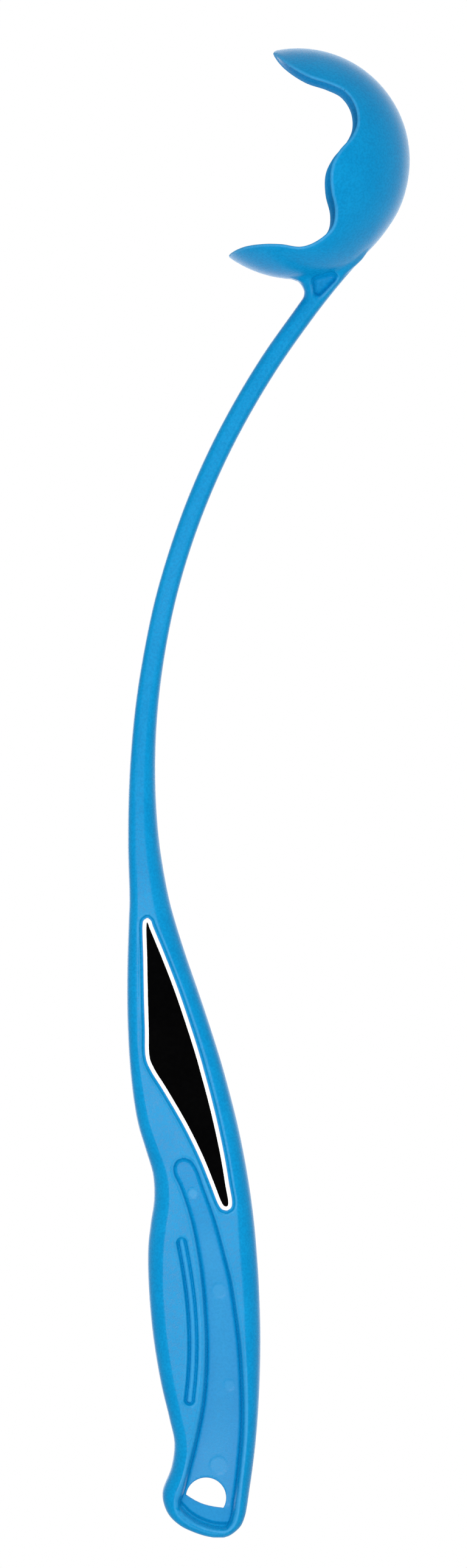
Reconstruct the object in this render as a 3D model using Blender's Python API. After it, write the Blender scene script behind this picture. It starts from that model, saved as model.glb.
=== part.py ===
"""Dog ball thrower: one moulding (grip, stem and ball cup) with labels let into the grip.

Metres, +Z up towards the ball cup. The cup opens towards -X, and -Y is the photographed side.
The origin is the middle of the grip, on the mid-plane, and both sides are alike about y = 0.
"""

from math import cos, pi, radians, sin

import bmesh
import bpy
from mathutils import Vector

MM = 0.001

# Ball cup
BALL_DIAMETER = 63.5 * MM
BALL_CLEARANCE = 0.15 * MM
CUP_WALL = 2.5 * MM
LOWER_FINGER_EXTRA_WALL = 2.1 * MM

# Stem
STEM_LENGTH = 180.3 * MM
STEM_SWEEP = 50.4 * MM
STEM_WIDTH = 6.15 * MM
STEM_THICKNESS = 11.0 * MM
STEM_FLANK = 2.2 * MM
NECK_WIDTH = 12.1 * MM

# Grip
GRIP_LENGTH = 196.2 * MM
GRIP_WIDTH = 33.9 * MM
GRIP_THICKNESS = 16.0 * MM
GRIP_FLANK = 4.6 * MM
TAIL_FLANK = 2.4 * MM

# Channel pocket and hang hole
CHANNEL_TOP_DEPTH = 1.8 * MM
CHANNEL_TOP_DRAFT = 1.1 * MM
CHANNEL_DEEP_DRAFT = 1.8 * MM
TAIL_WEB = 3.0 * MM
TAIL_WALL_WIDTH = 2.0 * MM
TAIL_LEDGE_WIDTH = 4.2 * MM
HANG_HOLE_RADIUS = 6.2 * MM
EJECTOR_MARK_DEPTH = 0.3 * MM

# Groove with its rib
GROOVE_WIDTH = 4.2 * MM
GROOVE_DEPTH = 3.0 * MM
RIB_WIDTH = 1.3 * MM
RIB_DROP = 0.6 * MM

# Label
LABEL_FILM = 0.4 * MM
LABEL_PRINT = 0.3 * MM
LABEL_BORDER = 1.2 * MM
LABEL_MARGIN = 0.7 * MM
SEAT_GAP = 0.3 * MM

# Triangular recess where the stem meets the cup
CROTCH_RECESS_DEPTH = 1.8 * MM
CROTCH_RECESS_CORNER = 1.1 * MM

# How far a cutter runs past the face that it cuts
OVERRUN = 2.0 * MM

# Mesh density
CURVE_STEPS = 2
RIM_STEPS = 3
CAP_STEPS = 3
CORNER_STEPS = 4
FLANK_STEPS = 3
SPHERE_SEGMENTS = 56
SPHERE_RINGS = 26
CIRCLE_STEPS = 20

# An edge whose faces turn by more than this is shaded sharp
SHARP_ANGLE = radians(30.0)

# Worked out from the sizes above
BALL_SPACE_RADIUS = BALL_DIAMETER / 2 + BALL_CLEARANCE
CUP_RADIUS = BALL_SPACE_RADIUS + CUP_WALL
GRIP_HALF = GRIP_THICKNESS / 2
STEM_HALF = STEM_THICKNESS / 2
LABEL_RECESS_DEPTH = LABEL_FILM + LABEL_PRINT + 2 * SEAT_GAP

# Grip outline, from the neck down to the tail: shares of (grip width, grip length) from the origin
GRIP_LEFT_SHARES = [
    (-0.691, 0.638), (-0.702, 0.581), (-0.706, 0.524), (-0.700, 0.467), (-0.681, 0.410),
    (-0.643, 0.352), (-0.601, 0.314), (-0.534, 0.276), (-0.471, 0.238), (-0.461, 0.200),
    (-0.492, 0.162), (-0.515, 0.124), (-0.511, 0.067), (-0.473, -0.010), (-0.401, -0.086),
    (-0.323, -0.143), (-0.278, -0.181), (-0.304, -0.219), (-0.384, -0.257), (-0.374, -0.276),
    (-0.323, -0.295), (-0.230, -0.310), (-0.128, -0.319), (-0.012, -0.326), (0.072, -0.329),
]
GRIP_RIGHT_SHARES = [
    (-0.276, 0.638), (-0.172, 0.581), (-0.058, 0.524), (0.052, 0.467), (0.155, 0.410),
    (0.246, 0.352), (0.300, 0.314), (0.346, 0.276), (0.386, 0.238), (0.420, 0.200),
    (0.447, 0.162), (0.467, 0.124), (0.489, 0.067), (0.503, -0.010), (0.496, -0.086),
    (0.478, -0.143), (0.459, -0.181), (0.433, -0.219), (0.401, -0.257), (0.385, -0.276),
    (0.363, -0.295), (0.327, -0.310), (0.279, -0.319), (0.221, -0.326), (0.171, -0.329),
]
NECK_SHARE = (-0.508, 0.671)

# Stem centre line, from the neck up: shares of (sweep, stem length) from the neck
STEM_CENTRE_SHARES = [
    (0.0, 0.0), (-0.031, 0.088), (-0.041, 0.171), (-0.034, 0.254), (-0.009, 0.337),
    (0.035, 0.420), (0.096, 0.503), (0.179, 0.585), (0.284, 0.668), (0.413, 0.751),
    (0.568, 0.834), (0.749, 0.917), (0.959, 1.0),
]
# Stem width along the same stations, as shares of the way from the stem's width to the neck's
STEM_SWELL_SHARES = [1.0, 0.61, 0.38, 0.23, 0.13, 0.06, 0.03, 0.0, 0.0, 0.0, 0.0, 0.0, 0.0]

# Cup centre from the stem's top end: shares of the cup's radius along the stem and to its left
CUP_ALONG_SHARE = 1.052
CUP_ASIDE_SHARE = 0.835

# Both edges of the web between stem and cup, and its recess: shares of the cup's radius from the
# cup's centre, along the stem's upper end and to its right
WEB_LEFT_SHARES = [
    (-0.966, 0.743), (-0.922, 0.719), (-0.893, 0.674), (-0.880, 0.625), (-0.854, 0.552),
    (-0.748, 0.553), (-0.567, 0.584), (-0.304, 0.644),
]
WEB_RIGHT_SHARES = [
    (-0.782, 0.936), (-0.570, 0.953), (-0.428, 0.968), (-0.282, 0.986), (-0.135, 1.003),
    (-0.012, 0.988), (0.054, 0.942), (0.037, 0.831),
]
CROTCH_RECESS_SHARES = [(-0.802, 0.716), (-0.625, 0.886), (-0.919, 0.865)]
# The flank narrows to this share of the stem's where the web runs into the cup, between two
# distances from the cup's centre, as shares of its radius
WEB_FLANK_SHARE = 0.2
WEB_FLANK_REACH_SHARES = (1.02, 1.12)

# Rim of the cup in side view, from the upper finger's tip to the lower finger's tip:
# shares of the cup's radius from the cup's centre
RIM_SHARES = [
    (-0.203, 1.10), (-0.210, 0.985), (-0.223, 0.962), (-0.201, 0.929), (-0.103, 0.832),
    (0.087, 0.715), (0.274, 0.652), (0.408, 0.582), (0.492, 0.457), (0.508, 0.307),
    (0.459, 0.190), (0.340, 0.049), (0.274, -0.092), (0.271, -0.277), (0.310, -0.467),
    (0.288, -0.611), (0.158, -0.734), (0.013, -0.788), (-0.170, -0.766), (-0.336, -0.764),
    (-0.502, -0.788), (-0.619, -0.847), (-0.72, -0.98),
]
MOUTH_FRONT_SHARE = -1.6
MOUTH_TOP_SHARE = 1.3
MOUTH_FOOT_SHARE = -1.15

# Label outline, top to bottom: shares of (grip width, grip length) from the origin
LABEL_LEFT_SHARES = [
    (-0.534, 0.640), (-0.562, 0.636), (-0.570, 0.629), (-0.564, 0.581), (-0.558, 0.524),
    (-0.549, 0.467), (-0.540, 0.421), (-0.496, 0.402), (-0.384, 0.371), (-0.192, 0.314),
    (-0.050, 0.264), (0.044, 0.224), (0.118, 0.192), (0.149, 0.185), (0.182, 0.183),
]
LABEL_RIGHT_SHARES = [
    (-0.518, 0.640), (-0.493, 0.636), (-0.474, 0.627), (-0.385, 0.590), (-0.256, 0.533),
    (-0.143, 0.476), (-0.050, 0.425), (0.006, 0.390), (0.050, 0.362), (0.117, 0.314),
    (0.176, 0.265), (0.215, 0.224), (0.242, 0.195), (0.231, 0.187), (0.198, 0.183),
]

# Channel outline at the grip's face, top to bottom
CHANNEL_LEFT_SHARES = [
    (-0.212, 0.265), (-0.258, 0.261), (-0.288, 0.252), (-0.284, 0.240), (-0.228, 0.219),
    (-0.132, 0.167), (-0.061, 0.110), (-0.026, 0.074), (0.000, 0.038), (0.022, -0.029), (0.006, -0.105),
    (-0.055, -0.162), (-0.154, -0.213), (-0.226, -0.256), (-0.256, -0.272), (-0.248, -0.286),
    (-0.204, -0.296), (-0.105, -0.308), (0.028, -0.317), (0.083, -0.319),
]
CHANNEL_RIGHT_SHARES = [
    (-0.182, 0.265), (-0.132, 0.261), (-0.099, 0.253), (-0.078, 0.244), (-0.033, 0.219),
    (0.058, 0.167), (0.140, 0.114), (0.202, 0.076), (0.244, 0.038), (0.292, -0.029), (0.325, -0.105),
    (0.339, -0.162), (0.333, -0.213), (0.306, -0.256), (0.292, -0.272), (0.281, -0.286),
    (0.264, -0.298), (0.242, -0.308), (0.193, -0.317), (0.138, -0.320),
]
CHANNEL_TOP_SHARE = 0.265
CHANNEL_DEEP_SHARE = -0.20
CHANNEL_TAIL_SHARE = -0.320
TAIL_RISE_SHARE = -0.235
# Where the channel's wall bends into the floor or the tail's ledge: share of the depth and the draft
CHANNEL_BEND_SHARE = 0.7

HANG_HOLE_SHARE = (0.009, -0.267)
HANG_HOLE_FROM = radians(171.0)
HANG_HOLE_TO = radians(-30.0)
HANG_HOLE_BOW_SHARES = [(0.0, 0.0), (0.25, 0.10), (0.5, 0.15), (0.75, 0.11), (1.0, 0.0)]

GROOVE_SHARES = [
    (-0.215, 0.132), (-0.171, 0.090), (-0.129, 0.033), (-0.113, -0.024), (-0.124, -0.076),
    (-0.146, -0.113),
]

# Ejector-pin marks in the front channel: places as grip shares, radii as shares of the hang hole's
EJECTOR_MARK_SHARES = [
    (-0.116, 0.210, 0.24), (0.127, 0.058, 0.36), (0.220, -0.090, 0.28), (0.121, -0.216, 0.44),
]

FRONT = -1
BACK = 1


def clear_scene():
    for old in list(bpy.data.objects):
        bpy.data.objects.remove(old, do_unlink=True)


def plastic(name, colour, roughness):
    """A Principled material in linear colour."""
    material = bpy.data.materials.new(name)
    material.use_nodes = True
    shader = material.node_tree.nodes["Principled BSDF"]
    shader.inputs["Base Color"].default_value = (*colour, 1.0)
    shader.inputs["Roughness"].default_value = roughness
    shader.inputs["Metallic"].default_value = 0.0
    material.diffuse_color = (*colour, 1.0)
    return material


def on_grip(share):
    """A place (x, z) on the grip's mid-plane from its shares."""
    return Vector((share[0] * GRIP_WIDTH, share[1] * GRIP_LENGTH))


def smooth_path(points, steps=CURVE_STEPS):
    """Centripetal Catmull-Rom curve through points, with a number of steps between neighbours."""
    first = points[0] * 2 - points[1]
    last = points[-1] * 2 - points[-2]
    chain = [first] + list(points) + [last]
    path = []
    for a, b, c, d in zip(chain, chain[1:], chain[2:], chain[3:]):
        ka = (b - a).length ** 0.5
        kb = ka + (c - b).length ** 0.5
        kc = kb + (d - c).length ** 0.5
        for step in range(steps):
            t = ka + (kb - ka) * step / steps
            ab = a.lerp(b, t / ka)
            bc = b.lerp(c, (t - ka) / (kb - ka))
            cd = c.lerp(d, (t - kb) / (kc - kb))
            abc = ab.lerp(bc, t / kb)
            bcd = bc.lerp(cd, (t - ka) / (kc - ka))
            path.append(abc.lerp(bcd, (t - ka) / (kb - ka)))
    path.append(points[-1].copy())
    return path


def ease(value, low, high):
    """Smooth step from 0 at low to 1 at high."""
    t = min(max((value - low) / (high - low), 0.0), 1.0)
    return t * t * (3 - 2 * t)


def loop_normals(loop):
    """Inward normals of a closed outline that runs down the left edge and up the right one."""
    normals = []
    for index, point in enumerate(loop):
        before = (point - loop[index - 1]).normalized()
        after = (loop[(index + 1) % len(loop)] - point).normalized()
        along = (before + after).normalized()
        normals.append(Vector((-along.y, along.x)))
    return normals


def inset_edges(edges, distance):
    """Both edges of an outline moved inward by a distance, a number or one for each point."""
    left, right = edges
    loop = left + right[::-1]
    moved = []
    for point, normal in zip(loop, loop_normals(loop)):
        amount = distance(point) if callable(distance) else distance
        moved.append(point + normal * amount)
    return moved[:len(left)], moved[len(left):][::-1]


def grip_edges(left_shares, right_shares):
    left = smooth_path([on_grip(share) for share in left_shares])
    right = smooth_path([on_grip(share) for share in right_shares])
    return left, right


def band_edges(centre, half_width):
    """Left and right edges of a band with round ends along a centre line from top to bottom."""
    angles = [pi / 2 * step / CAP_STEPS for step in range(CAP_STEPS)]
    left = []
    right = []

    def rung(place, along, half):
        aside = Vector((along.y, -along.x)) * half
        left.append(place + aside)
        right.append(place - aside)

    def direction(index):
        ahead = centre[min(index + 1, len(centre) - 1)]
        behind = centre[max(index - 1, 0)]
        return (ahead - behind).normalized()

    start = direction(0)
    for angle in angles:
        turn = angle + pi / 2 / CAP_STEPS / 2
        rung(centre[0] - start * half_width * cos(turn), start, half_width * sin(turn))
    for index, place in enumerate(centre):
        rung(place, direction(index), half_width)
    end = direction(len(centre) - 1)
    for angle in reversed(angles):
        turn = angle + pi / 2 / CAP_STEPS / 2
        rung(centre[-1] + end * half_width * cos(turn), end, half_width * sin(turn))
    return left, right


def add_stack(mesh, layers, side=FRONT):
    """Closed body from outline layers, each (edges, depth), where depth is a number or a function.

    A depth is the distance from the mid-plane towards the given side.
    """
    rows = []
    for edges, depth in layers:
        loop = edges[0] + edges[1][::-1]
        row = []
        for point in loop:
            away = depth(point) if callable(depth) else depth
            row.append(mesh.verts.new((point.x, side * away, point.y)))
        rows.append(row)
    faces = []
    count = len(rows[0])
    for near, far in zip(rows, rows[1:]):
        for index in range(count):
            after = (index + 1) % count
            faces.append(mesh.faces.new((near[index], near[after], far[after], far[index])))
    for row in (rows[0], rows[-1]):
        for index in range(count // 2 - 1):
            corners = (row[index], row[index + 1], row[count - 2 - index], row[count - 1 - index])
            faces.append(mesh.faces.new(corners))
    bmesh.ops.recalc_face_normals(mesh, faces=faces)


def finish_object(name, mesh, material=None):
    """A scene object from a bmesh, smooth except at its sharp edges."""
    data = bpy.data.meshes.new(name)
    mesh.to_mesh(data)
    mesh.free()
    data.shade_smooth()
    data.set_sharp_from_angle(angle=SHARP_ANGLE)
    made = bpy.data.objects.new(name, data)
    bpy.context.scene.collection.objects.link(made)
    if material is not None:
        data.materials.append(material)
    return made


def combine(target, tool, operation):
    """Boolean on the target that hides its tool."""
    tool.hide_render = True
    tool.display_type = "WIRE"
    step = target.modifiers.new(tool.name, "BOOLEAN")
    step.operation = operation
    step.solver = "EXACT"
    step.object = tool


def stem_edges():
    """Edges of the stem from the cup end down to the neck, and the line's last direction."""
    neck = on_grip(NECK_SHARE)
    stations = []
    for share in STEM_CENTRE_SHARES:
        stations.append(neck + Vector((share[0] * STEM_SWEEP, share[1] * STEM_LENGTH)))
    left = []
    right = []
    for index, place in enumerate(stations):
        above = stations[min(index + 1, len(stations) - 1)]
        below = stations[max(index - 1, 0)]
        along = (above - below).normalized()
        width = STEM_WIDTH + (NECK_WIDTH - STEM_WIDTH) * STEM_SWELL_SHARES[index]
        aside = Vector((along.y, -along.x)) * width / 2
        left.append(place - aside)
        right.append(place + aside)
    return left[::-1], right[::-1], stations[-1], along


def cup_centre():
    _, _, top, along = stem_edges()
    aside = Vector((along.y, -along.x))
    return top + along * CUP_ALONG_SHARE * CUP_RADIUS - aside * CUP_ASIDE_SHARE * CUP_RADIUS


def on_cup(share):
    """A place (x, z) from its shares of the cup's radius."""
    return cup_centre() + Vector((share[0], share[1])) * CUP_RADIUS


def on_web(share):
    """A place (x, z) from its shares of the cup's radius along the stem's upper end and aside."""
    _, _, _, along = stem_edges()
    aside = Vector((along.y, -along.x))
    return cup_centre() + (along * share[0] + aside * share[1]) * CUP_RADIUS


def outline_edges():
    """Side view of the web, stem and grip: its left and right edges from the top down."""
    stem_left, stem_right, _, _ = stem_edges()
    left = [on_web(share) for share in reversed(WEB_LEFT_SHARES)]
    right = [on_web(share) for share in reversed(WEB_RIGHT_SHARES)]
    left += stem_left + [on_grip(share) for share in GRIP_LEFT_SHARES]
    right += stem_right + [on_grip(share) for share in GRIP_RIGHT_SHARES]
    return smooth_path(left), smooth_path(right)


def half_thickness(point):
    """Half the thickness in Y: the grip's, easing to the stem's above the neck."""
    neck = on_grip(NECK_SHARE).y
    rise = ease(point.y, neck, neck + STEM_LENGTH / 2)
    return GRIP_HALF + (STEM_HALF - GRIP_HALF) * rise


def flank_width(point):
    """Width of the rounded flank between the outline and the flat face."""
    neck = on_grip(NECK_SHARE).y
    tail = CHANNEL_TAIL_SHARE * GRIP_LENGTH
    grip = TAIL_FLANK + (GRIP_FLANK - TAIL_FLANK) * ease(point.y, tail, 0.0)
    near, far = WEB_FLANK_REACH_SHARES
    reach = (point - cup_centre()).length / CUP_RADIUS
    stem = STEM_FLANK * (WEB_FLANK_SHARE + (1 - WEB_FLANK_SHARE) * ease(reach, near, far))
    return grip + (stem - grip) * ease(point.y, neck - STEM_LENGTH / 2, neck + STEM_LENGTH / 8)


def build_handle():
    """Grip, stem and web as layers from the front face round the flanks to the back face."""
    edges = outline_edges()
    layers = []
    turns = [pi / 2 * step / FLANK_STEPS for step in range(-FLANK_STEPS, FLANK_STEPS + 1)]
    for turn in turns:
        def inward(point, turn=turn):
            return flank_width(point) * (1 - cos(turn))

        inset = inset_edges(edges, inward)
        loop = edges[0] + edges[1][::-1]
        thick = [half_thickness(point) * sin(turn) for point in loop]
        layers.append((inset, thick))
    mesh = bmesh.new()
    add_thick_stack(mesh, layers)
    return mesh


def add_thick_stack(mesh, layers):
    """A stack whose depths are listed point by point."""
    stack = []
    for edges, depths in layers:
        loop = edges[0] + edges[1][::-1]
        places = {tuple(point): depth for point, depth in zip(loop, depths)}
        stack.append((edges, lambda point, places=places: places[tuple(point)]))
    add_stack(mesh, stack)


def sphere(radius_at):
    """Sphere about the cup's centre whose radius depends on the direction; poles on the Y axis."""
    mesh = bmesh.new()
    bmesh.ops.create_uvsphere(mesh, u_segments=SPHERE_SEGMENTS, v_segments=SPHERE_RINGS, radius=1.0)
    centre = cup_centre()
    for vert in mesh.verts:
        way = Vector((vert.co.x, -vert.co.z, vert.co.y)).normalized()
        vert.co = Vector((centre.x, 0.0, centre.y)) + way * radius_at(way)
    return mesh


def cup_outside(way):
    """Outer radius, with the thicker wall under the lower finger."""
    under = ease(-way.z, 0.50, 0.80) * ease(-way.x, -0.62, -0.22)
    return CUP_RADIUS + LOWER_FINGER_EXTRA_WALL * under


def ball_space(way):
    return BALL_SPACE_RADIUS


def build_mouth():
    """Everything in front of the cup's rim, as a prism across the cup."""
    rim = smooth_path([on_cup(share) for share in RIM_SHARES], RIM_STEPS)
    front = on_cup((MOUTH_FRONT_SHARE, 0.0)).x
    top = on_cup((0.0, MOUTH_TOP_SHARE)).y
    foot = on_cup((0.0, MOUTH_FOOT_SHARE)).y
    outline = [Vector((rim[0].x, top))] + rim + [Vector((rim[-1].x, foot))]
    outline += [Vector((front, foot)), Vector((front, top))]
    mesh = bmesh.new()
    reach = CUP_RADIUS + LOWER_FINGER_EXTRA_WALL + OVERRUN
    near = [mesh.verts.new((point.x, -reach, point.y)) for point in outline]
    far = [mesh.verts.new((point.x, reach, point.y)) for point in outline]
    mesh.faces.new(near)
    mesh.faces.new(far[::-1])
    for index in range(len(outline)):
        after = (index + 1) % len(outline)
        mesh.faces.new((near[index], far[index], far[after], near[after]))
    bmesh.ops.recalc_face_normals(mesh, faces=mesh.faces)
    return mesh


def rounded_corners(corners, radius):
    """Outline of a polygon with round corners."""
    outline = []
    for index, corner in enumerate(corners):
        back = (corners[index - 1] - corner).normalized()
        ahead = (corners[(index + 1) % len(corners)] - corner).normalized()
        half = back.angle(ahead) / 2
        middle = corner + (back + ahead).normalized() * radius / sin(half)
        start = corner + back * radius * cos(half) / sin(half) - middle
        end = corner + ahead * radius * cos(half) / sin(half) - middle
        for step in range(CORNER_STEPS + 1):
            arm = start.lerp(end, step / CORNER_STEPS).normalized()
            outline.append(middle + arm * radius)
    return outline


def add_prism(mesh, outline, inner, outer, side):
    """Prism over an outline (x, z) between two distances from the mid-plane."""
    low = [mesh.verts.new((point.x, side * inner, point.y)) for point in outline]
    high = [mesh.verts.new((point.x, side * outer, point.y)) for point in outline]
    faces = [mesh.faces.new(low), mesh.faces.new(high[::-1])]
    for index in range(len(outline)):
        after = (index + 1) % len(outline)
        faces.append(mesh.faces.new((low[index], high[index], high[after], low[after])))
    bmesh.ops.recalc_face_normals(mesh, faces=faces)


def build_crotch_recess():
    corners = [on_web(share) for share in CROTCH_RECESS_SHARES]
    outline = rounded_corners(corners, CROTCH_RECESS_CORNER)
    mesh = bmesh.new()
    for side in (FRONT, BACK):
        add_prism(mesh, outline, STEM_HALF - CROTCH_RECESS_DEPTH, GRIP_HALF + OVERRUN, side)
    return mesh


def label_edges(inset):
    """The label's edges moved inward, without the tips that an inset has closed up."""
    left, right = inset_edges(grip_edges(LABEL_LEFT_SHARES, LABEL_RIGHT_SHARES), inset)
    open_rungs = []
    for start, end in zip(left, right):
        falls = not open_rungs or start.y + end.y < open_rungs[-1][0].y + open_rungs[-1][1].y
        if end.x > start.x and falls:
            open_rungs.append((start, end))
    return [rung[0] for rung in open_rungs], [rung[1] for rung in open_rungs]


def build_label_recess():
    edges = label_edges(-LABEL_MARGIN)
    mesh = bmesh.new()
    for side in (FRONT, BACK):
        layers = [(edges, GRIP_HALF - LABEL_RECESS_DEPTH), (edges, GRIP_HALF + OVERRUN)]
        add_stack(mesh, layers, side)
    return mesh


def build_label(name, material, side, inset, floor, thickness):
    """One layer of a label: its outline, its height above the recess floor and its thickness."""
    edges = label_edges(inset)
    low = GRIP_HALF - LABEL_RECESS_DEPTH + floor
    mesh = bmesh.new()
    add_stack(mesh, [(edges, low), (edges, low + thickness)], side)
    return finish_object(name, mesh, material)


def channel_depth(point):
    """Depth of the channel's floor, growing from its top end to the hang hole."""
    top = CHANNEL_TOP_SHARE * GRIP_LENGTH
    deep = CHANNEL_DEEP_SHARE * GRIP_LENGTH
    full = GRIP_HALF - TAIL_WEB / 2
    return full + (CHANNEL_TOP_DEPTH - full) * ease(point.y, deep, top)


def raise_tail(edges, lift):
    """Edges whose lower end is pushed up by a lift that fades out above the tail."""
    tail = CHANNEL_TAIL_SHARE * GRIP_LENGTH
    rise = TAIL_RISE_SHARE * GRIP_LENGTH

    def moved(point):
        share = min(max((rise - point.y) / (rise - tail), 0.0), 1.0)
        return Vector((point.x, point.y + lift * share * share))

    return [moved(point) for point in edges[0]], [moved(point) for point in edges[1]]


def channel_draft(point):
    """How far the channel's floor lies inside its rim, more where the channel is deeper."""
    top = CHANNEL_TOP_SHARE * GRIP_LENGTH
    deep = CHANNEL_DEEP_SHARE * GRIP_LENGTH
    return CHANNEL_DEEP_DRAFT + (CHANNEL_TOP_DRAFT - CHANNEL_DEEP_DRAFT) * ease(point.y, deep, top)


def build_channel():
    """The long pocket: drafted walls, a floor that deepens, and a sloping ledge at the tail."""
    rim = grip_edges(CHANNEL_LEFT_SHARES, CHANNEL_RIGHT_SHARES)
    bend = inset_edges(rim, lambda point: channel_draft(point) * CHANNEL_BEND_SHARE)
    wall = raise_tail(bend, TAIL_WALL_WIDTH)
    floor = raise_tail(inset_edges(rim, channel_draft), TAIL_WALL_WIDTH + TAIL_LEDGE_WIDTH)
    mesh = bmesh.new()
    for side in (FRONT, BACK):
        layers = [
            (floor, lambda point: GRIP_HALF - channel_depth(point)),
            (wall, lambda point: GRIP_HALF - channel_depth(point) * CHANNEL_BEND_SHARE),
            (rim, GRIP_HALF),
            (rim, GRIP_HALF + OVERRUN),
        ]
        add_stack(mesh, layers, side)
    return mesh


def groove_line():
    return smooth_path([on_grip(share) for share in GROOVE_SHARES])


def build_groove():
    edges = band_edges(groove_line(), GROOVE_WIDTH / 2)
    mesh = bmesh.new()
    for side in (FRONT, BACK):
        layers = [(edges, GRIP_HALF - GROOVE_DEPTH), (edges, GRIP_HALF + OVERRUN)]
        add_stack(mesh, layers, side)
    return mesh


def build_ribs():
    """The rib that stands in each groove, rooted below the groove's floor."""
    line = groove_line()
    start = line[0] + (line[0] - line[1]).normalized() * GROOVE_WIDTH / 2
    edges = band_edges([start] + line, RIB_WIDTH / 2)
    mesh = bmesh.new()
    for side in (FRONT, BACK):
        layers = [(edges, GRIP_HALF - GROOVE_DEPTH - RIB_DROP), (edges, GRIP_HALF - RIB_DROP)]
        add_stack(mesh, layers, side)
    return mesh


def build_hang_hole():
    """D-shaped hole: a round top and a bowed lower edge along the tail's ledge."""
    centre = on_grip(HANG_HOLE_SHARE)
    outline = []
    for step in range(CIRCLE_STEPS + 1):
        angle = HANG_HOLE_FROM + (HANG_HOLE_TO - HANG_HOLE_FROM) * step / CIRCLE_STEPS
        outline.append(centre + Vector((cos(angle), sin(angle))) * HANG_HOLE_RADIUS)
    start = outline[-1]
    chord = outline[0] - start
    below = Vector((-chord.y, chord.x)).normalized() * HANG_HOLE_RADIUS
    for along, bow in HANG_HOLE_BOW_SHARES[1:-1]:
        outline.append(start + chord * along + below * bow)
    mesh = bmesh.new()
    add_prism(mesh, outline, -GRIP_HALF, GRIP_HALF, FRONT)
    return mesh


def build_ejector_marks():
    mesh = bmesh.new()
    for across, up, size in EJECTOR_MARK_SHARES:
        centre = on_grip((across, up))
        radius = size * HANG_HOLE_RADIUS
        floor = GRIP_HALF - channel_depth(centre)
        outline = []
        for step in range(CIRCLE_STEPS):
            angle = 2 * pi * step / CIRCLE_STEPS
            outline.append(centre + Vector((cos(angle), sin(angle))) * radius)
        add_prism(mesh, outline, floor - EJECTOR_MARK_DEPTH, floor + OVERRUN / 2, FRONT)
    return mesh


def settle(target):
    """Work out the target's Booleans, keep the result as its mesh and remove the tools."""
    worked_out = target.evaluated_get(bpy.context.evaluated_depsgraph_get())
    data = bpy.data.meshes.new_from_object(worked_out)
    tools = [step.object for step in target.modifiers]
    target.modifiers.clear()
    for tool in tools:
        bpy.data.objects.remove(tool, do_unlink=True)
    data.name = target.name
    data.shade_smooth()
    data.set_sharp_from_angle(angle=SHARP_ANGLE)
    target.data = data


def build_body(blue):
    """The whole moulding."""
    body = finish_object("thrower_body", build_handle(), blue)
    combine(body, finish_object("cup_solid", sphere(cup_outside)), "UNION")
    combine(body, finish_object("ball_space", sphere(ball_space)), "DIFFERENCE")
    combine(body, finish_object("mouth", build_mouth()), "DIFFERENCE")
    combine(body, finish_object("crotch_recess", build_crotch_recess()), "DIFFERENCE")
    combine(body, finish_object("label_recess", build_label_recess()), "DIFFERENCE")
    combine(body, finish_object("channel", build_channel()), "DIFFERENCE")
    combine(body, finish_object("groove", build_groove()), "DIFFERENCE")
    combine(body, finish_object("groove_ribs", build_ribs()), "UNION")
    combine(body, finish_object("hang_hole", build_hang_hole()), "DIFFERENCE")
    combine(body, finish_object("ejector_marks", build_ejector_marks()), "DIFFERENCE")
    settle(body)


def build_labels(white, black):
    for side, name in ((FRONT, "front"), (BACK, "back")):
        build_label(name + "_label_film", white, side, 0.0, SEAT_GAP, LABEL_FILM)
        above = SEAT_GAP + LABEL_FILM + SEAT_GAP
        build_label(name + "_label_print", black, side, LABEL_BORDER, above, LABEL_PRINT)


def main():
    clear_scene()
    blue = plastic("blue_polypropylene", (0.004, 0.287, 0.610), 0.42)
    white = plastic("white_label_film", (0.90, 0.90, 0.90), 0.30)
    black = plastic("black_label_print", (0.006, 0.006, 0.006), 0.35)
    build_body(blue)
    build_labels(white, black)


main()
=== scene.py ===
"""Looks of the dog ball thrower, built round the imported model.

Metres, +Z up towards the ball cup; the cup opens towards -X and -Y is the photographed side.
The moulding is one smooth surface, taken from a distance function that has the CAD model's sizes.
"""
from math import cos, pi, radians, sin

import bpy
import numpy as np
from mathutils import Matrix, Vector


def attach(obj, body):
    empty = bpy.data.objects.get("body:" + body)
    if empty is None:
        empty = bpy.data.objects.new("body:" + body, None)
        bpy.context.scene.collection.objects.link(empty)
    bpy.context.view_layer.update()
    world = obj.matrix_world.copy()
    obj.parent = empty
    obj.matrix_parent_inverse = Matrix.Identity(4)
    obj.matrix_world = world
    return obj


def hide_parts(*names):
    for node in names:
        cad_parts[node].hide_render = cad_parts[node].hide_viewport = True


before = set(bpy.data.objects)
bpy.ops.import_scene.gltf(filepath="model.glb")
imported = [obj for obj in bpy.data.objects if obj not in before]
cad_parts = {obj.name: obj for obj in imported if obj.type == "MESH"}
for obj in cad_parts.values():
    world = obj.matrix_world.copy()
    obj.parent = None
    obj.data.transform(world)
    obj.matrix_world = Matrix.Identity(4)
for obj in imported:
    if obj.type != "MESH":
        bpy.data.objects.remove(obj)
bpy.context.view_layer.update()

MM = 0.001

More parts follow.
